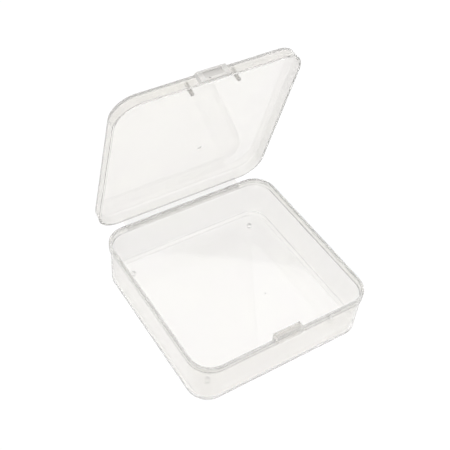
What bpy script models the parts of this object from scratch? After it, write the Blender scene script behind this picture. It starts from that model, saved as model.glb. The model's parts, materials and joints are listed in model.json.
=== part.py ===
"""Square hinged box for keeping guitar picks, moulded in translucent polypropylene.

The box stands on its feet at z = 0 with its front towards -Y, and the origin is under the middle
of the whole box with its lid open. The tray is modelled about the middle of its floor's
underside, and the lid is modelled shut about the hinge line and then swung open.
"""

import math

import bmesh
import bpy
from mathutils import Matrix

MM = 0.001

# Driving dimensions
BOX_WIDTH = 95.0 * MM
TRAY_HEIGHT = 25.5 * MM
WALL = 1.25 * MM
GAP = 0.3 * MM
CORNER_RADIUS = 11.5 * MM
CORNER_SEGMENTS = 8
CUT_MARGIN = 1.0 * MM
SHARP_ANGLE = math.radians(40)
SAME = 1e-6

# Tray: a drafted wall, a rounded bottom edge and a collar that steps out under the rim
WALL_DRAFT = 0.3 * MM
BOTTOM_ROUNDING = 1.4 * MM
BOTTOM_SEGMENTS = 4
COLLAR_HEIGHT = 3.7 * MM
COLLAR_STEP = 0.5 * MM
COLLAR_SLOPE = 0.4 * MM

# Relief in the collar's lower edge, where a finger gets under the latch
RELIEF_HALF_WIDTH = 8.4 * MM
RELIEF_BELOW_RIM = 1.8 * MM
RELIEF_PROUD = 0.02 * MM

# Keeper: the pocket behind the middle of the front rim
KEEPER_WIDTH = 14.6 * MM
KEEPER_REACH = 2.9 * MM
KEEPER_DEPTH = 5.0 * MM
KEEPER_WALL = 0.9 * MM
KEEPER_ROUNDING = 0.8 * MM
KEEPER_SEGMENTS = 3

# Feet
FOOT_DIAMETER = 2.8 * MM
FOOT_HEIGHT = 0.6 * MM
FOOT_SIDEWAYS = 35.2 * MM
FOOT_LENGTHWAYS = 36.3 * MM
FEET_BACK = 0.9 * MM
FOOT_SEGMENTS = 24

# Lid
LID_DEPTH = 6.0 * MM
LID_DRAFT = 0.5 * MM
LID_RADIUS = 12.3 * MM
LID_EDGE_ROUNDING = 0.8 * MM
LID_EDGE_SEGMENTS = 2
LID_OPEN_ANGLE = 75.0

# Living hinge: its line lies behind and below the back rim
HINGE_BACK = 0.9 * MM
HINGE_DROP = 2.9 * MM
HINGE_WIDTH = 66.0 * MM
STRAP_THICKNESS = 0.6 * MM
STRAP_OFF_COLLAR = 0.35 * MM
STRAP_LAP = 2.0 * MM
STRAP_START = 0.5 * MM
WEB_THICKNESS = 0.4 * MM
WEB_LENGTH = 0.5 * MM
WEB_AHEAD = 0.35 * MM
LAND_THICKNESS = 0.35 * MM
LAND_HEIGHT = 1.2 * MM

# Guide prongs inside the lid's front
PRONG_SPACING = 23.2 * MM
PRONG_WIDTH = 1.1 * MM
PRONG_TIP_DEPTH = 1.3 * MM
PRONG_ROOT_DEPTH = 2.0 * MM
PRONG_SETBACK = 3.9 * MM
PRONG_PAST_RIM = 1.6 * MM
PRONG_ROUNDING = 0.35 * MM

# Latch tab on the outside of the lid's front
TAB_WIDTH = 16.6 * MM
TAB_END_SLOPE = 1.0 * MM
TAB_STAND = 1.2 * MM
TAB_ROUNDING = 0.2 * MM
THUMB_WIDTH = 9.6 * MM
THUMB_HEIGHT = 3.4 * MM
THUMB_DEPTH = 0.45 * MM

# Places that follow from the sizes above
HALF = BOX_WIDTH / 2
AXIS_Y = HALF + HINGE_BACK
AXIS_Z = TRAY_HEIGHT - HINGE_DROP
LID_RIM_Z = HINGE_DROP + GAP
LID_CENTRE_Y = -AXIS_Y
LID_FRONT_Y = LID_CENTRE_Y - HALF
OPEN = math.radians(LID_OPEN_ANGLE)
LID_REAR_Y = (
    AXIS_Y
    - (HINGE_BACK + LID_DRAFT + LID_EDGE_ROUNDING) * math.cos(OPEN)
    + (LID_RIM_Z + LID_DEPTH) * math.sin(OPEN)
)


def collection(name):
    made = bpy.data.collections.new(name)
    bpy.context.scene.collection.children.link(made)
    return made


def plastic(name, colour, roughness, alpha):
    """Translucent moulded polypropylene."""
    made = bpy.data.materials.new(name)
    made.use_nodes = True
    shader = made.node_tree.nodes["Principled BSDF"]
    shader.inputs["Base Color"].default_value = (*colour, 1.0)
    shader.inputs["Roughness"].default_value = roughness
    shader.inputs["Metallic"].default_value = 0.0
    shader.inputs["Alpha"].default_value = alpha
    return made


def add_object(name, shape, finish, home, parent):
    """Turn a bmesh into a named object, placed by its parent."""
    mesh = bpy.data.meshes.new(name)
    shape.to_mesh(mesh)
    shape.free()
    mesh.materials.append(finish)
    piece = bpy.data.objects.new(name, mesh)
    home.objects.link(piece)
    piece.parent = parent
    return piece


def block(low, high):
    """A bmesh box between two corners."""
    shape = bmesh.new()
    size = [b - a for a, b in zip(low, high)]
    centre = [(a + b) / 2 for a, b in zip(low, high)]
    bmesh.ops.create_cube(shape, size=1.0, matrix=Matrix.Translation(centre) @ Matrix.Diagonal((*size, 1.0)))
    return shape


def edges_where(shape, test):
    return [edge for edge in shape.edges if all(test(vert.co) for vert in edge.verts)]


def round_edges(shape, edges, radius, segments):
    bmesh.ops.bevel(
        shape,
        geom=edges,
        offset=radius,
        offset_type="OFFSET",
        segments=segments,
        profile=0.5,
        affect="EDGES",
        clamp_overlap=True,
    )


def rounded_tub(half, low, high, centre_y, corner_radius, closed_z, open_z, draft, edge_rounding, segments):
    """An open tub's outer skin: rounded corners, drafted sides and a rounded edge at its closed end."""
    shape = block((-half, centre_y - half, low), (half, centre_y + half, high))
    tall = (high - low) / 2
    upright = [edge for edge in shape.edges if abs(edge.verts[0].co.z - edge.verts[1].co.z) > tall]
    round_edges(shape, upright, corner_radius, CORNER_SEGMENTS)
    shrink = (half - draft) / half
    for vert in shape.verts:
        if abs(vert.co.z - closed_z) < SAME:
            vert.co.x *= shrink
            vert.co.y = centre_y + (vert.co.y - centre_y) * shrink
    closed_edge = edges_where(shape, lambda co: abs(co.z - closed_z) < SAME)
    round_edges(shape, closed_edge, edge_rounding, segments)
    open_face = [face for face in shape.faces if all(abs(vert.co.z - open_z) < SAME for vert in face.verts)]
    bmesh.ops.delete(shape, geom=open_face, context="FACES_ONLY")
    return shape


def raise_collar(shape, start_half, start_z):
    """Carry the tray's open edge outward over a short slope and straight up to the rim."""
    stages = [
        ((start_half + COLLAR_STEP) / start_half, COLLAR_SLOPE),
        (1.0, COLLAR_HEIGHT - COLLAR_SLOPE),
    ]
    level = start_z
    for spread, rise in stages:
        rim = [edge for edge in shape.edges if edge.is_boundary]
        grown = bmesh.ops.extrude_edge_only(shape, edges=rim)["geom"]
        for item in grown:
            if isinstance(item, bmesh.types.BMVert):
                item.co.x *= spread
                item.co.y *= spread
                item.co.z = level + rise
        level += rise
    bmesh.ops.recalc_face_normals(shape, faces=shape.faces)


def add_shell_wall(piece, thickness):
    wall = piece.modifiers.new("wall", "SOLIDIFY")
    wall.thickness = thickness
    wall.offset = -1.0
    wall.use_even_offset = True
    wall.use_rim = True


def cut(piece, cutter_name, shape, cutters):
    """Cut a piece with a hidden block that shares its parent."""
    mesh = bpy.data.meshes.new(cutter_name)
    shape.to_mesh(mesh)
    shape.free()
    cutter = bpy.data.objects.new(cutter_name, mesh)
    cutters.objects.link(cutter)
    cutter.parent = piece.parent
    cutter.hide_render = True
    cutter.display_type = "WIRE"
    knife = piece.modifiers.new(cutter_name, "BOOLEAN")
    knife.operation = "DIFFERENCE"
    knife.solver = "EXACT"
    knife.object = cutter


def soften(piece, width, segments):
    rounding = piece.modifiers.new("rounding", "BEVEL")
    rounding.width = width
    rounding.segments = segments
    rounding.limit_method = "ANGLE"
    rounding.angle_limit = SHARP_ANGLE


def make_tray(parts, cutters, finish, stand):
    """Floor, four walls and the collar in one thin shell, relieved under the front rim."""
    wall_half = HALF - COLLAR_STEP
    wall_top = TRAY_HEIGHT - COLLAR_HEIGHT
    skin = rounded_tub(
        half=wall_half,
        low=0.0,
        high=wall_top,
        centre_y=0.0,
        corner_radius=CORNER_RADIUS - COLLAR_STEP,
        closed_z=0.0,
        open_z=wall_top,
        draft=WALL_DRAFT,
        edge_rounding=BOTTOM_ROUNDING,
        segments=BOTTOM_SEGMENTS,
    )
    raise_collar(skin, wall_half, wall_top)
    tray = add_object("base_tray", skin, finish, parts, stand)
    add_shell_wall(tray, WALL)
    relief = block(
        (-RELIEF_HALF_WIDTH, -HALF - CUT_MARGIN, wall_top - CUT_MARGIN),
        (RELIEF_HALF_WIDTH, -wall_half - RELIEF_PROUD, TRAY_HEIGHT - RELIEF_BELOW_RIM),
    )
    cut(tray, "finger_relief", relief, cutters)


def make_keeper(parts, cutters, finish, stand):
    """A cup open at the top and towards the front wall, standing just behind the rim."""
    front = -HALF + COLLAR_STEP + WALL + GAP
    back = -HALF + WALL + KEEPER_REACH
    top = TRAY_HEIGHT
    half_width = KEEPER_WIDTH / 2
    cup = block((-half_width, front, top - KEEPER_DEPTH), (half_width, back, top))
    upright_back = [
        edge
        for edge in cup.edges
        if all(abs(vert.co.y - back) < SAME for vert in edge.verts)
        and abs(edge.verts[0].co.z - edge.verts[1].co.z) > KEEPER_DEPTH / 2
    ]
    round_edges(cup, upright_back, KEEPER_ROUNDING, KEEPER_SEGMENTS)
    keeper = add_object("latch_keeper", cup, finish, parts, stand)
    pocket = block(
        (-half_width + KEEPER_WALL, front - CUT_MARGIN, top - KEEPER_DEPTH + KEEPER_WALL),
        (half_width - KEEPER_WALL, back - KEEPER_WALL, top + CUT_MARGIN),
    )
    cut(keeper, "keeper_pocket", pocket, cutters)


def make_feet(parts, finish, stand):
    """Four low round pads under the corners of the floor."""
    for side_name, side in (("left", -1), ("right", 1)):
        for end_name, end in (("front", -1), ("back", 1)):
            pad = bmesh.new()
            centre = (side * FOOT_SIDEWAYS, end * FOOT_LENGTHWAYS + FEET_BACK, -GAP - FOOT_HEIGHT / 2)
            bmesh.ops.create_cone(
                pad,
                cap_ends=True,
                segments=FOOT_SEGMENTS,
                radius1=FOOT_DIAMETER / 2,
                radius2=FOOT_DIAMETER / 2,
                depth=FOOT_HEIGHT,
                matrix=Matrix.Translation(centre),
            )
            foot = add_object(f"foot_{end_name}_{side_name}", pad, finish, parts, stand)
            foot.data.shade_smooth()
            foot.data.set_sharp_from_angle(angle=SHARP_ANGLE)


def make_lid(parts, finish, hinge):
    """The lid's plate and skirt, open side down when it is shut."""
    top = LID_RIM_Z + LID_DEPTH
    skin = rounded_tub(
        half=HALF,
        low=LID_RIM_Z,
        high=top,
        centre_y=LID_CENTRE_Y,
        corner_radius=LID_RADIUS,
        closed_z=top,
        open_z=LID_RIM_Z,
        draft=LID_DRAFT,
        edge_rounding=LID_EDGE_ROUNDING,
        segments=LID_EDGE_SEGMENTS,
    )
    bmesh.ops.recalc_face_normals(skin, faces=skin.faces)
    lid = add_object("lid_shell", skin, finish, parts, hinge)
    add_shell_wall(lid, WALL)


def make_prongs(parts, finish, hinge):
    """Two posts from the lid's plate that drop inside the front wall, one each side of the keeper."""
    root_z = LID_RIM_Z + LID_DEPTH - WALL - GAP
    tip_z = LID_RIM_Z - PRONG_PAST_RIM
    inner_y = LID_FRONT_Y + PRONG_SETBACK + PRONG_TIP_DEPTH / 2
    for side_name, side in (("left", -1), ("right", 1)):
        centre_x = side * PRONG_SPACING / 2
        post = block(
            (centre_x - PRONG_WIDTH / 2, inner_y - PRONG_ROOT_DEPTH, tip_z),
            (centre_x + PRONG_WIDTH / 2, inner_y, root_z),
        )
        for vert in post.verts:
            at_tip = abs(vert.co.z - tip_z) < SAME
            if at_tip and vert.co.y < inner_y - PRONG_TIP_DEPTH:
                vert.co.y = inner_y - PRONG_TIP_DEPTH
        prong = add_object(f"guide_prong_{side_name}", post, finish, parts, hinge)
        soften(prong, PRONG_ROUNDING, 2)


def make_latch_tab(parts, cutters, finish, hinge):
    """A raised thumb tab across the lid's front, with sloping ends and a shallow thumb recess."""
    back_y = LID_FRONT_Y - GAP
    face_y = LID_FRONT_Y - TAB_STAND
    top = LID_RIM_Z + LID_DEPTH
    half_width = TAB_WIDTH / 2
    tab_block = block((-half_width, face_y, LID_RIM_Z), (half_width, back_y, top))
    for vert in tab_block.verts:
        if abs(vert.co.y - face_y) < SAME:
            vert.co.x -= math.copysign(TAB_END_SLOPE, vert.co.x)
    tab = add_object("latch_tab", tab_block, finish, parts, hinge)
    middle = (LID_RIM_Z + top) / 2
    recess = block(
        (-THUMB_WIDTH / 2, face_y - CUT_MARGIN, middle - THUMB_HEIGHT / 2),
        (THUMB_WIDTH / 2, face_y + THUMB_DEPTH, middle + THUMB_HEIGHT / 2),
    )
    cut(tab, "thumb_recess", recess, cutters)
    soften(tab, TAB_ROUNDING, 2)


def make_hinge(parts, finish, stand, hinge):
    """The living hinge: a land on the tray, a thin web on the hinge line and a strap on the lid."""
    half_width = HINGE_WIDTH / 2
    strap_front = -HINGE_BACK + STRAP_OFF_COLLAR
    strap = block(
        (-half_width, strap_front, STRAP_START),
        (half_width, strap_front + STRAP_THICKNESS, LID_RIM_Z + STRAP_LAP),
    )
    add_object("hinge_strap", strap, finish, parts, hinge)

    web = block(
        (-half_width, AXIS_Y - WEB_AHEAD, AXIS_Z - WEB_THICKNESS / 2),
        (half_width, AXIS_Y - WEB_AHEAD + WEB_LENGTH, AXIS_Z + WEB_THICKNESS / 2),
    )
    add_object("hinge_web", web, finish, parts, stand)

    land_top = AXIS_Z - WEB_THICKNESS / 2 - GAP
    land_front = HALF + GAP
    land = block(
        (-half_width, land_front, land_top - LAND_HEIGHT),
        (half_width, land_front + LAND_THICKNESS, land_top),
    )
    add_object("hinge_land", land, finish, parts, stand)


def build():
    for old in list(bpy.data.objects):
        bpy.data.objects.remove(old)

    parts = collection("pick_holder")
    cutters = collection("cutters")
    clear = plastic("clear_polypropylene", (0.93, 0.925, 0.905), 0.25, 0.45)
    thin = plastic("thin_polypropylene", (0.95, 0.95, 0.94), 0.35, 0.35)

    stand = bpy.data.objects.new("stand", None)
    parts.objects.link(stand)
    stand.location = (0.0, (HALF - LID_REAR_Y) / 2, FOOT_HEIGHT + GAP)
    hinge = bpy.data.objects.new("lid_hinge", None)
    parts.objects.link(hinge)
    hinge.parent = stand
    hinge.location = (0.0, AXIS_Y, AXIS_Z)
    hinge.rotation_euler = (-OPEN, 0.0, 0.0)

    make_tray(parts, cutters, clear, stand)
    make_keeper(parts, cutters, clear, stand)
    make_feet(parts, clear, stand)
    make_lid(parts, clear, hinge)
    make_prongs(parts, clear, hinge)
    make_latch_tab(parts, cutters, clear, hinge)
    make_hinge(parts, thin, stand, hinge)


build()
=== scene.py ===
import json
import math

import bmesh
import bpy
from mathutils import Matrix, Vector


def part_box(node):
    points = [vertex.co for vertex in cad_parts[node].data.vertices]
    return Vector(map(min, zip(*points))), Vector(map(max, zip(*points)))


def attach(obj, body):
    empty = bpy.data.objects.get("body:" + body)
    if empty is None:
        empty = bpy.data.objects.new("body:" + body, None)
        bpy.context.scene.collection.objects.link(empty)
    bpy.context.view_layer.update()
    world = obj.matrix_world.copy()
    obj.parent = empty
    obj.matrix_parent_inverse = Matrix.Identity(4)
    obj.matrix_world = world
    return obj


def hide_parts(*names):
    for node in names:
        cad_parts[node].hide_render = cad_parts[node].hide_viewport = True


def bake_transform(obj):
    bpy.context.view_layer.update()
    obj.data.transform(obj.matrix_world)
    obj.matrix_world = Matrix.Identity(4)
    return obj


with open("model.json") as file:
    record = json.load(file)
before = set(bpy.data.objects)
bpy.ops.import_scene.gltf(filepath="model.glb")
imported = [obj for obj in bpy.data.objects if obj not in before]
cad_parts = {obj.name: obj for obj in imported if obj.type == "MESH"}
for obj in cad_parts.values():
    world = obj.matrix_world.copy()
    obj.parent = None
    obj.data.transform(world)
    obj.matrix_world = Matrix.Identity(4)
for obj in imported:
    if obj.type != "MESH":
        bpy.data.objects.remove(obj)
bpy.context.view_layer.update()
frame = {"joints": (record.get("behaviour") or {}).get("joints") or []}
MM = 0.001

# Tray: one thin polypropylene tub with drafted walls, a rounded bottom edge and a collar that
# steps out under the rim. It is injection moulded, so every edge has a small round and the
# milky plastic has faint cloudy flow in it.
tray_low, tray_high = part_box("base_tray")
tray_middle = (tray_low + tray_high) / 2
box_half = tray_high.x
wall = 1.25 * MM
rim_radius = 11.5 * MM
wall_draft = 0.3 * MM
bottom_round = 1.4 * MM
floor_round = 1.8 * MM
collar_step = 0.5 * MM
collar_height = 3.7 * MM
edge_round = 0.28 * MM
rim_thick = 1.5 * MM
corner_steps = 20


def arc(centre, radius, start, end, steps):
    """Points on an arc in the section plane: (distance in from the rim's outline, height)."""
    turns = [math.radians(start + (end - start) * i / steps) for i in range(steps + 1)]
    return [(centre[0] + radius * math.cos(t), centre[1] + radius * math.sin(t)) for t in turns]


def square_ring(half, radius, height, centre_y):
    """One level of a square outline with round corners."""
    points = []
    for quarter in range(4):
        side_x, side_y = ((1, 1), (-1, 1), (-1, -1), (1, -1))[quarter]
        middle = Vector((side_x * (half - radius), centre_y + side_y * (half - radius)))
        for step in range(corner_steps + 1):
            turn = math.radians(90 * (quarter + step / corner_steps))
            x = middle.x + radius * math.cos(turn)
            y = middle.y + radius * math.sin(turn)
            points.append((x, y, height))
    return points


def moulded_shell(name, section, radius, centre_y):
    """Carry a wall's section round the square outline and close both ends with a flat plate."""
    shape = bmesh.new()
    rings = []
    for inset, height in section:
        ring = square_ring(box_half - inset, radius - inset, height, centre_y)
        rings.append([shape.verts.new(point) for point in ring])
    count = len(rings[0])
    for below, above in zip(rings, rings[1:]):
        for i in range(count):
            j = (i + 1) % count
            shape.faces.new((below[i], below[j], above[j], above[i]))
    shape.faces.new(list(reversed(rings[0])))
    shape.faces.new(rings[-1])
    bmesh.ops.recalc_face_normals(shape, faces=shape.faces)
    mesh = bpy.data.meshes.new(name)
    shape.to_mesh(mesh)
    shape.free()
    piece = bpy.data.objects.new(name, mesh)
    bpy.context.scene.collection.objects.link(piece)
    return piece


def moulded_block(name, low, high, taper=(0.0, 0.0), rounding=0.0):
    """A small solid block; its -Y face is narrowed by the taper, and its edges are rounded."""
    shape = bmesh.new()
    size = [b - a for a, b in zip(low, high)]
    middle = [(a + b) / 2 for a, b in zip(low, high)]
    placed = Matrix.Translation(middle) @ Matrix.Diagonal((*size, 1.0))
    bmesh.ops.create_cube(shape, size=1.0, matrix=placed)
    for vert in shape.verts:
        if vert.co.y < middle[1]:
            vert.co.x -= math.copysign(taper[0], vert.co.x - middle[0])
            vert.co.z -= math.copysign(taper[1], vert.co.z - middle[2])
    if rounding:
        edges = shape.edges[:]
        bmesh.ops.bevel(shape, geom=edges, offset=rounding, segments=3, profile=0.5, affect="EDGES")
    mesh = bpy.data.meshes.new(name)
    shape.to_mesh(mesh)
    shape.free()
    piece = bpy.data.objects.new(name, mesh)
    bpy.context.scene.collection.objects.link(piece)
    return piece


def weld(piece, other, operation):
    """Join or cut a piece with another shape for good, as the mould's own steel does."""
    join = piece.modifiers.new("join", "BOOLEAN")
    join.operation = operation
    join.solver = "EXACT"
    join.object = other
    bpy.context.view_layer.update()
    solid = bpy.data.meshes.new_from_object(piece.evaluated_get(bpy.context.evaluated_depsgraph_get()))
    piece.modifiers.clear()
    piece.data = solid
    bpy.data.objects.remove(other)


def smooth_edges(piece):
    """Shade the rounds smooth while flat walls stay flat."""
    piece.data.shade_smooth()
    piece.data.set_sharp_from_angle(angle=math.radians(35))
    normals = piece.modifiers.new("flat_walls", "WEIGHTED_NORMAL")
    normals.keep_sharp = True
    normals.weight = 100


def milky_plastic(
    name, start_tint, end_tint, ramp_from, ramp_to, milk, satin, body, up=(0, 0, 1)
):
    """Natural polypropylene: milky and cloudy, its colour ramped by height along up between two tints.
    Where the ramp darkens it is painted shade for the dim bands that light makes in the clear plastic.
    """
    made = bpy.data.materials.new(name)
    made.use_nodes = True
    nodes, links = made.node_tree.nodes, made.node_tree.links
    shader = nodes["Principled BSDF"]
    shader.inputs["IOR"].default_value = 1.49
    shader.inputs["Transmission Weight"].default_value = 1.0 - milk
    shader.inputs["Alpha"].default_value = body
    place = nodes.new("ShaderNodeTexCoord")

    cloud = nodes.new("ShaderNodeTexNoise")
    cloud.inputs["Scale"].default_value = 45.0
    cloud.inputs["Detail"].default_value = 3.0
    cloud.inputs["Distortion"].default_value = 0.6
    links.new(place.outputs["Object"], cloud.inputs["Vector"])
    flow = nodes.new("ShaderNodeValToRGB")
    flow.color_ramp.elements[0].position = 0.3
    flow.color_ramp.elements[0].color = (0.985, 0.978, 0.985, 1.0)
    flow.color_ramp.elements[1].position = 0.7
    flow.color_ramp.elements[1].color = (1.0, 1.0, 0.992, 1.0)
    links.new(cloud.outputs["Fac"], flow.inputs["Fac"])

    height = nodes.new("ShaderNodeVectorMath")
    height.operation = "DOT_PRODUCT"
    height.inputs[1].default_value = up
    links.new(place.outputs["Object"], height.inputs[0])
    tint_span = nodes.new("ShaderNodeMapRange")
    tint_span.inputs["From Min"].default_value = ramp_from
    tint_span.inputs["From Max"].default_value = ramp_to
    links.new(height.outputs["Value"], tint_span.inputs["Value"])
    tint = nodes.new("ShaderNodeValToRGB")
    tint.color_ramp.elements[0].color = (*start_tint, 1.0)
    tint.color_ramp.elements[1].color = (*end_tint, 1.0)
    links.new(tint_span.outputs["Result"], tint.inputs["Fac"])
    colour = nodes.new("ShaderNodeVectorMath")
    colour.operation = "MULTIPLY"
    links.new(tint.outputs["Color"], colour.inputs[0])
    links.new(flow.outputs["Color"], colour.inputs[1])
    links.new(colour.outputs["Vector"], shader.inputs["Base Color"])

    skin = nodes.new("ShaderNodeTexNoise")
    skin.inputs["Scale"].default_value = 900.0
    skin.inputs["Detail"].default_value = 4.0
    links.new(place.outputs["Object"], skin.inputs["Vector"])
    gloss = nodes.new("ShaderNodeMapRange")
    gloss.inputs["To Min"].default_value = satin * 0.7
    gloss.inputs["To Max"].default_value = satin * 1.3
    links.new(skin.outputs["Fac"], gloss.inputs["Value"])
    links.new(gloss.outputs["Result"], shader.inputs["Roughness"])
    grain = nodes.new("ShaderNodeBump")
    grain.inputs["Strength"].default_value = 0.02
    grain.inputs["Distance"].default_value = 0.05 * MM
    links.new(skin.outputs["Fac"], grain.inputs["Height"])
    links.new(grain.outputs["Normal"], shader.inputs["Normal"])
    return made


rim_top = tray_high.z
floor_under = tray_low.z
collar_bottom = rim_top - collar_height
wall_in = wall + collar_step
foot_in = collar_step + wall_draft
bottom_centre = (foot_in + bottom_round, floor_under + bottom_round)
tray_section = arc(bottom_centre, bottom_round, 270, 180, 8)
tray_section += [
    (collar_step + 0.02 * MM, collar_bottom - 0.15 * MM),
    (collar_step - 0.06 * MM, collar_bottom),
    (0.08 * MM, collar_bottom + 0.34 * MM),
    (0.0, collar_bottom + 0.46 * MM),
]
tray_section += arc((edge_round, rim_top - edge_round), edge_round, 180, 90, 5)
tray_section += arc((rim_thick - edge_round, rim_top - edge_round), edge_round, 90, 0, 5)
tray_section += [
    (rim_thick, collar_bottom + 0.85 * MM),
    (rim_thick + 0.05 * MM, collar_bottom + 0.68 * MM),
    (wall_in - 0.1 * MM, collar_bottom + 0.42 * MM),
    (wall_in, collar_bottom + 0.25 * MM),
]
floor_centre = (foot_in + wall + floor_round, floor_under + wall + floor_round)
tray_section += arc(floor_centre, floor_round, 180, 270, 6)
tray = moulded_shell("tray_shell", tray_section, rim_radius, tray_middle.y)

# Keeper: the pocket that is moulded behind the middle of the front rim. The collar is cut back
# below it so that a finger can get under the lid's tab.
keeper_low, keeper_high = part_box("latch_keeper")
keeper_wall = 0.9 * MM
relief_half = 8.4 * MM
relief_drop = 1.8 * MM
keeper = moulded_block(
    "keeper_block",
    (keeper_low.x, tray_low.y + wall * 0.5, keeper_low.z),
    (keeper_high.x, keeper_high.y, keeper_high.z - 0.02 * MM),
)
weld(tray, keeper, "UNION")
pocket = moulded_block(
    "pocket_cut",
    (keeper_low.x + keeper_wall, tray_low.y + rim_thick, keeper_low.z + keeper_wall),
    (keeper_high.x - keeper_wall, keeper_high.y - keeper_wall, keeper_high.z + 3 * MM),
)
weld(tray, pocket, "DIFFERENCE")
relief = moulded_block(
    "relief_cut",
    (-relief_half, tray_low.y - 1 * MM, collar_bottom - 0.6 * MM),
    (relief_half, tray_low.y + collar_step - 0.05 * MM, rim_top - relief_drop),
)
weld(tray, relief, "DIFFERENCE")

# Feet: four low round pads moulded under the corners of the floor. The plastic sinks a little
# over each one as it cools into a round dimple with sloping sides, whose grey ring is painted shade on
# those sides.
pad_names = ("foot_front_left", "foot_front_right", "foot_back_left", "foot_back_right")
dimple_radius = 1.45 * MM
dimple_floor = 0.65 * MM
dimple_deep = 0.5 * MM


def moulded_disc(name, middle, low, high, low_radius, high_radius):
    """A short round solid standing on z, narrower or wider at the top."""
    shape = bmesh.new()
    bmesh.ops.create_cone(
        shape,
        cap_ends=True,
        segments=32,
        radius1=low_radius,
        radius2=high_radius,
        depth=high - low,
        matrix=Matrix.Translation((middle.x, middle.y, (low + high) / 2)),
    )
    mesh = bpy.data.meshes.new(name)
    shape.to_mesh(mesh)
    shape.free()
    piece = bpy.data.objects.new(name, mesh)
    bpy.context.scene.collection.objects.link(piece)
    return piece


floor_top = floor_under + wall
foot_middles = []
for foot_name in pad_names:
    foot_low, foot_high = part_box(foot_name)
    foot_middle = (foot_low + foot_high) / 2
    foot_middles.append(foot_middle.xy)
    foot_radius = (foot_high.x - foot_low.x) / 2
    pad = moulded_disc(
        foot_name + "_pad",
        foot_middle,
        foot_low.z,
        floor_under + 0.4 * MM,
        foot_radius - 0.15 * MM,
        foot_radius,
    )
    weld(tray, pad, "UNION")
    dimple = moulded_disc(
        foot_name + "_dimple",
        foot_middle,
        floor_top - dimple_deep,
        floor_top + 0.2 * MM,
        dimple_floor,
        dimple_radius,
    )
    weld(tray, dimple, "DIFFERENCE")

# Gate mark: the small pit in the floor where the plastic was let into the mould. It is left when
# the runner is broken off. With it cut, the tray is whole and gets its finishes.
floor_gate = moulded_disc(
    "floor_gate",
    tray_middle + Vector((15.9 * MM, -6.9 * MM, 0)),
    floor_top - 0.3 * MM,
    floor_top + 0.2 * MM,
    0.3 * MM,
    0.6 * MM,
)
weld(tray, floor_gate, "DIFFERENCE")

# Painted shade: the tray's colour darkens from the collar step up to the rim, standing in for the dimmer
# band that the collar and rim show in the light.
tray_plastic = milky_plastic(
    "tray_plastic",
    start_tint=(0.96, 0.948, 0.925),
    end_tint=(0.74, 0.73, 0.7),
    ramp_from=collar_bottom,
    ramp_to=collar_bottom + 0.5 * MM,
    milk=0.06,
    satin=0.05,
    body=0.8,
)
# Painted shade: a dark grey copy of the tray plastic for the sloping sides of the dimples, standing in
# for the grey ring the light makes over each foot.
foot_plastic = milky_plastic(
    "foot_plastic",
    start_tint=(0.62, 0.61, 0.59),
    end_tint=(0.62, 0.61, 0.59),
    ramp_from=tray_low.z,
    ramp_to=rim_top,
    milk=0.3,
    satin=0.3,
    body=0.85,
)
# Painted shade: a copy of the tray plastic for the inside round between floor and walls, darker low down
# in the corner and lighter towards the walls.
corner_shade_plastic = milky_plastic(
    "corner_shade_plastic",
    start_tint=(0.9, 0.89, 0.865),
    end_tint=(0.97, 0.958, 0.935),
    ramp_from=floor_top + floor_round * 0.3,
    ramp_to=floor_top + floor_round,
    milk=0.3,
    satin=0.2,
    body=0.9,
)
tray.data.materials.clear()
for finish in (tray_plastic, foot_plastic, corner_shade_plastic):
    tray.data.materials.append(finish)
foot_reach = dimple_radius + 0.1 * MM
# Painted shade is laid face by face: on the dimple sides over the feet and on the round where the floor
# meets the walls.
for face in tray.data.polygons:
    beside_foot = min((face.center.xy - middle).length for middle in foot_middles) < foot_reach
    upright_face = abs(face.normal.z) < 0.9
    inside = face.center.z > floor_under + 0.3 * MM
    above_floor = floor_top + 0.02 * MM < face.center.z < floor_top + floor_round
    if beside_foot and upright_face and inside:
        face.material_index = 1
    elif above_floor and face.normal.z > 0.1:
        face.material_index = 2
smooth_edges(tray)
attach(tray, "base")
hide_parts("base_tray", "latch_keeper", *pad_names)

# Lid: a flat plate with a shallow skirt, the same outline as the rim. It is moulded in one with
# the tray and stands open on the hinge.
hinge = frame["joints"][0]
hinge_place = Vector(hinge["pos_m"])
open_angle = 75.0
swing = Matrix.Translation(hinge_place) @ Matrix.Rotation(math.radians(-open_angle), 4, "X")
lid_rim = rim_top - hinge_place.z + 0.3 * MM
lid_depth = 5.97 * MM
lid_top = lid_rim + lid_depth
lid_draft = 0.5 * MM
lid_radius = 12.3 * MM
lid_round = 0.8 * MM
lid_middle = tray_middle.y - hinge_place.y
lid_section = arc((lid_draft + lid_round, lid_top - lid_round), lid_round, 90, 180, 6)
lid_section += arc((edge_round, lid_rim + edge_round), edge_round, 180, 270, 4)
lid_section += arc((wall - edge_round, lid_rim + edge_round), edge_round, 270, 360, 4)
lid_section += arc((wall + lid_draft * 0.8 + 0.5 * MM, lid_top - wall - 0.5 * MM), 0.5 * MM, 180, 90, 4)
lid = moulded_shell("lid_shell_clear", lid_section, lid_radius, lid_middle)

# Guide prongs: two posts moulded on the inside of the plate, in the same plastic. They slip
# inside the front wall as the lid shuts and keep it from sliding sideways.
lid_front = lid_middle - box_half
prong_half_gap = 11.6 * MM
prong_width = 1.5 * MM
prong_reach = 1.55 * MM
prong_in = 3.9 * MM
for side in (-1, 1):
    prong = moulded_block(
        "prong_block",
        (side * prong_half_gap - prong_width / 2, lid_front + prong_in - 0.7 * MM, lid_rim - prong_reach),
        (side * prong_half_gap + prong_width / 2, lid_front + prong_in + 0.62 * MM, lid_top - wall * 0.5),
        rounding=0.3 * MM,
    )
    weld(lid, prong, "UNION")

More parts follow.
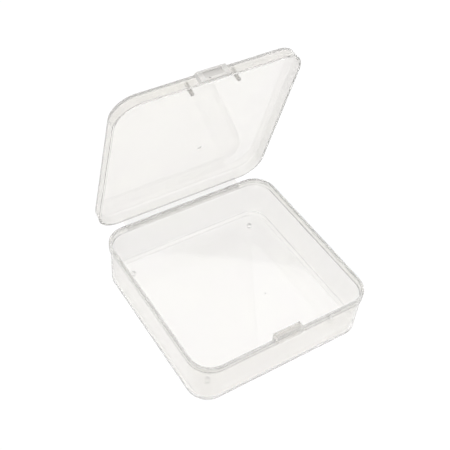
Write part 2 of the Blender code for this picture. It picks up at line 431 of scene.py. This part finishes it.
# Latch tab: the raised thumb tab on the front of the skirt, with sloping ends and a shallow
# recess for the thumb.
tab_half = 8.2 * MM
tab_stand = 1.18 * MM
tab = moulded_block(
    "tab_block",
    (-tab_half, lid_front - tab_stand, lid_rim + 0.02 * MM),
    (tab_half, lid_front + wall * 0.5, lid_top - 0.3 * MM),
    taper=(0.9 * MM, 0.0),
    rounding=0.15 * MM,
)
weld(lid, tab, "UNION")
thumb = moulded_block(
    "thumb_cut",
    (-4.8 * MM, lid_front - tab_stand - 1 * MM, lid_rim + 1.3 * MM),
    (4.8 * MM, lid_front - tab_stand + 0.45 * MM, lid_rim + 4.7 * MM),
)
weld(lid, thumb, "DIFFERENCE")

# Lid gate: a round mark near the middle of the plate, where the lid's half of the mould was
# filled. With it cut, the lid is whole, so it gets its finishes and is swung open on the hinge.
plate_inside = lid_top - wall
lid_gate = moulded_disc(
    "lid_gate",
    Vector((6.0 * MM, lid_middle + 10.7 * MM, 0)),
    plate_inside - 0.2 * MM,
    plate_inside + 0.3 * MM,
    1.3 * MM,
    1.05 * MM,
)
weld(lid, lid_gate, "DIFFERENCE")

lid_up = swing.to_3x3() @ Vector((0, 0, 1))
lid_foot = lid_up.dot(hinge_place)
# Painted shade: the lid's colour darkens from the plate down into the skirt, standing in for the dim band
# the skirt shows in the light.
lid_plastic = milky_plastic(
    "lid_plastic",
    start_tint=(0.988, 0.976, 0.953),
    end_tint=(0.91, 0.9, 0.875),
    ramp_from=lid_foot + plate_inside - 0.1 * MM,
    ramp_to=lid_foot + plate_inside - 0.6 * MM,
    milk=0.14,
    satin=0.06,
    body=0.93,
    up=lid_up,
)
# Painted shade: a darker copy of the lid plastic for the outer faces of the tab.
latch_plastic = milky_plastic(
    "latch_plastic",
    start_tint=(0.8, 0.785, 0.765),
    end_tint=(0.8, 0.785, 0.765),
    ramp_from=lid_foot + lid_rim,
    ramp_to=lid_foot + lid_top,
    milk=0.4,
    satin=0.3,
    body=0.75,
    up=lid_up,
)
# Painted shade: a dark copy of the lid plastic for the thumb recess, the tab's underside and the inner
# faces of the prongs.
deep_shade_plastic = milky_plastic(
    "deep_shade_plastic",
    start_tint=(0.6, 0.585, 0.565),
    end_tint=(0.6, 0.585, 0.565),
    ramp_from=lid_foot + lid_rim,
    ramp_to=lid_foot + lid_top,
    milk=0.45,
    satin=0.4,
    body=0.75,
    up=lid_up,
)
lid.data.materials.clear()
for finish in (lid_plastic, latch_plastic, deep_shade_plastic):
    lid.data.materials.append(finish)
prong_inside = lid_front + wall + 0.2 * MM
# Painted shade is laid face by face: darkest in the thumb recess, under the tab and on the prongs,
# lighter on the tab's outer faces.
for face in lid.data.polygons:
    middle = face.center
    beside_prong = abs(abs(middle.x) - prong_half_gap) < prong_width
    in_thumb_recess = abs(middle.y - (lid_front - tab_stand + 0.45 * MM)) < 0.02 * MM
    under_tab = middle.y < lid_front and middle.z < lid_rim + 0.2 * MM
    if in_thumb_recess or under_tab:
        face.material_index = 2
    elif middle.y < lid_front - 0.05 * MM:
        face.material_index = 1
    elif middle.y > prong_inside and beside_prong and middle.z < plate_inside - 0.1 * MM:
        face.material_index = 2
lid.data.transform(swing)
smooth_edges(lid)
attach(lid, "lid")
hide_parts("lid_shell", "guide_prong_left", "guide_prong_right", "latch_tab")

# Living hinge: a thin strip of the same plastic that runs from the tray's collar to the lid's
# rim. It is creased along one line, where the stretched plastic turns whiter.
strip_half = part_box("hinge_land")[1].x
strip_thick = 0.45 * MM
strip_inset = 0.3 * MM
land_down = 0.9 * MM
crease_below = 0.35 * MM
crease_above = 0.45 * MM
crease_thinning = 0.55
crease_steps = 8
strap_steps = 6
strip_columns = 12
strap_outward = swing.to_3x3() @ Vector((0, 1, 0))
land_foot = Vector((0, hinge_place.y - strip_inset, hinge_place.z - land_down))
land_top = Vector((0, hinge_place.y - strip_inset, hinge_place.z - crease_below))
strap_top = hinge_place + lid_up * (lid_rim + 0.9 * MM) - strap_outward * 0.75 * MM
strap_foot = hinge_place + lid_up * crease_above - strap_outward * strip_inset
path = [land_foot, land_top]
for i in range(1, crease_steps):
    t = i / crease_steps
    corner = Vector((0, hinge_place.y - 0.25 * MM, hinge_place.z - 0.02 * MM))
    path.append(land_top * (1 - t) ** 2 + corner * 2 * t * (1 - t) + strap_foot * t * t)
for i in range(strap_steps + 1):
    path.append(strap_foot.lerp(strap_top, i / strap_steps))
strip_shape = bmesh.new()
rows = []
for i, point in enumerate(path):
    ahead = path[min(i + 1, len(path) - 1)] - path[max(i - 1, 0)]
    out = Vector((0, ahead.z, -ahead.y)).normalized()
    thin = crease_thinning if 1 <= i <= crease_steps else 1.0
    offset = out * strip_thick * thin / 2
    section = []
    for sign in (1, -1):
        for k in range(strip_columns + 1):
            x = strip_half * (1 - 2 * k / strip_columns) * sign
            section.append(strip_shape.verts.new(point + offset * sign + Vector((x, 0, 0))))
    rows.append(section)
for low_row, high_row in zip(rows, rows[1:]):
    count = len(low_row)
    for i in range(count):
        j = (i + 1) % count
        strip_shape.faces.new((low_row[i], low_row[j], high_row[j], high_row[i]))
strip_shape.faces.new(list(reversed(rows[0])))
strip_shape.faces.new(rows[-1])
bmesh.ops.recalc_face_normals(strip_shape, faces=strip_shape.faces)
strip_mesh = bpy.data.meshes.new("living_hinge")
strip_shape.to_mesh(strip_mesh)
strip_shape.free()
strip = bpy.data.objects.new("living_hinge", strip_mesh)
bpy.context.scene.collection.objects.link(strip)
strip.data.shade_smooth()
strip.data.set_sharp_from_angle(angle=math.radians(50))
hinge_plastic = milky_plastic(
    "hinge_plastic",
    start_tint=(0.99, 0.985, 0.975),
    end_tint=(0.98, 0.975, 0.96),
    ramp_from=hinge_place.z,
    ramp_to=hinge_place.z - 0.8 * MM,
    milk=0.35,
    satin=0.15,
    body=0.5,
)
strip.data.materials.append(hinge_plastic)
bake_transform(strip)
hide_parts("hinge_land", "hinge_web", "hinge_strap")

# Table: a plain pale top under the box. It is lit from within like a light table, so the floor of
# the box stays as bright as the table round it.
table_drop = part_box("foot_front_left")[0].z
bpy.ops.mesh.primitive_plane_add(size=6.0, location=(0, 0, table_drop - 0.02 * MM))
table = bpy.context.active_object
table.name = "table"
table_paint = bpy.data.materials.new("table_paint")
table_paint.use_nodes = True
paint = table_paint.node_tree.nodes["Principled BSDF"]
paint.inputs["Base Color"].default_value = (0.02, 0.02, 0.02, 1)
paint.inputs["Emission Color"].default_value = (1, 1, 1, 1)
paint.inputs["Emission Strength"].default_value = 1.01
paint.inputs["Roughness"].default_value = 0.9
paint.inputs["Specular IOR Level"].default_value = 0.0
table.data.materials.append(table_paint)

# Light: an even white tent, a little dimmer towards the horizon, and one soft square lamp hung
# over the box.
world = bpy.data.worlds.new("studio")
bpy.context.scene.world = world
world.use_nodes = True
tent = world.node_tree
sky = tent.nodes["Background"]
direction = tent.nodes.new("ShaderNodeTexCoord")
split = tent.nodes.new("ShaderNodeSeparateXYZ")
fade = tent.nodes.new("ShaderNodeValToRGB")
tent.links.new(direction.outputs["Generated"], split.inputs["Vector"])
tent.links.new(split.outputs["Z"], fade.inputs["Fac"])
tent.links.new(fade.outputs["Color"], sky.inputs["Color"])
fade.color_ramp.elements[0].position = 0.0
fade.color_ramp.elements[0].color = (0.95, 0.95, 0.95, 1)
fade.color_ramp.elements[1].position = 0.55
fade.color_ramp.elements[1].color = (1.0, 1.0, 1.0, 1)
sky.inputs["Strength"].default_value = 1.1

lamp_data = bpy.data.lights.new("overhead", "AREA")
lamp_data.size = 1.2
lamp_data.energy = 4.0
lamp = bpy.data.objects.new("overhead", lamp_data)
bpy.context.scene.collection.objects.link(lamp)
lamp.location = (-0.3, -0.2, 1.5)
lamp.rotation_euler = (Vector((0, 0, 0)) - lamp.location).to_track_quat("-Z", "Y").to_euler()

# Camera: a three-quarter view from the front left and above, with a long lens. It is turned a
# few degrees about its own axis.
aim = Vector((-8.5, tray_middle.y / MM - 0.8, floor_under / MM + 57.2)) * MM
azimuth, elevation, turn = math.radians(-35.9), math.radians(45.75), math.radians(5.35)
distance = 377.4 * MM
back = Vector((
    math.sin(azimuth) * math.cos(elevation),
    -math.cos(azimuth) * math.cos(elevation),
    math.sin(elevation),
))
level = Vector((math.cos(azimuth), math.sin(azimuth), 0))
upright = back.cross(level)
right = level * math.cos(turn) + upright * math.sin(turn)
top = upright * math.cos(turn) - level * math.sin(turn)
camera_data = bpy.data.cameras.new("camera")
camera_data.lens = 67.6
camera_data.sensor_width = 36.0
camera_data.clip_start = 0.01
camera = bpy.data.objects.new("camera", camera_data)
bpy.context.scene.collection.objects.link(camera)
placed = Matrix((right, top, back)).transposed().to_4x4()
placed.translation = aim + back * distance
camera.matrix_world = placed
bpy.context.scene.camera = camera
bpy.context.scene.view_settings.view_transform = "Standard"
